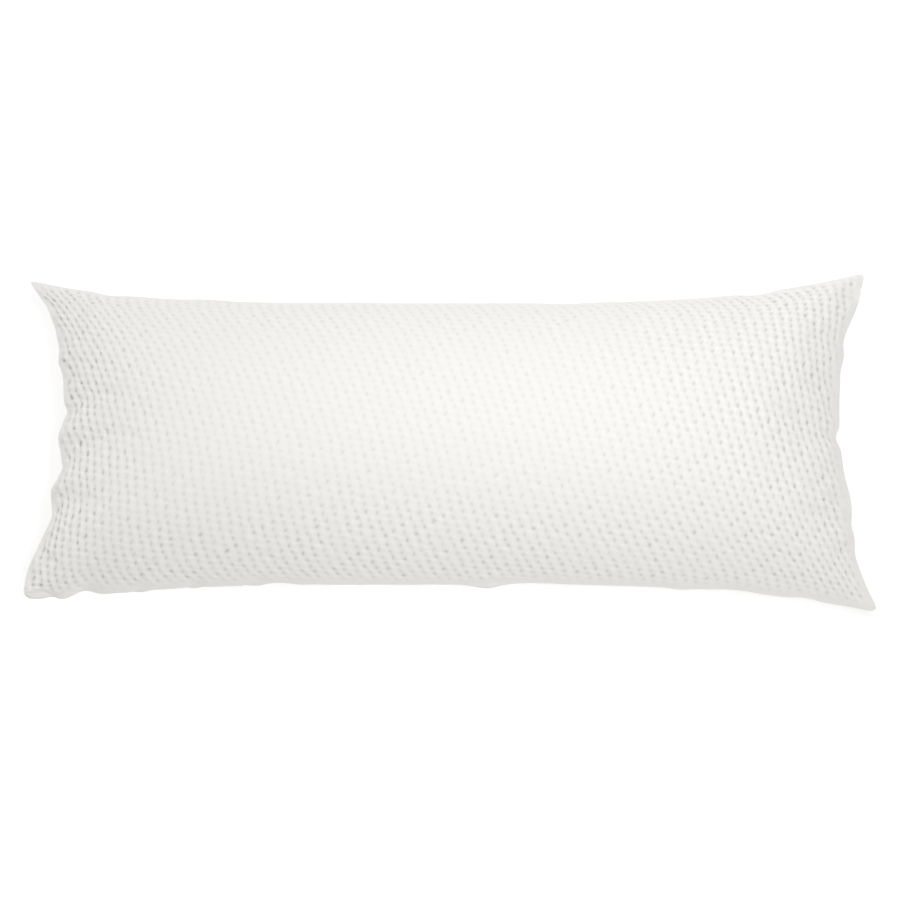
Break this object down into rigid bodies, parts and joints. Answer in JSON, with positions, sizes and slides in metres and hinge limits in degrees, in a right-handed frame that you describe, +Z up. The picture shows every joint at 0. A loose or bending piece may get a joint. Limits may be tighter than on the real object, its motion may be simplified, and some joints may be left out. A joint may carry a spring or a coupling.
{
  "type": "body pillow",
  "caption": "Long filled pillow in white dimpled knit, with a crowned face, drawn-in sides, gathered ends and ears at its corners, lying flat on its back panel.",
  "frame": {"origin": "the middle of the pillow's box in plan, on the surface that it lies on", "axes": "+X along the pillow's length, +Y across it towards its far long side, +Z up out of its face"},
  "size_m": [1.2988, 0.5248, 0.1915],
  "materials": {
    "knitted_fabric": "matt dimpled knit"
  },
  "bodies": {
    "root": {"pillow": "knitted_fabric"}
  },
  "joints": []
}
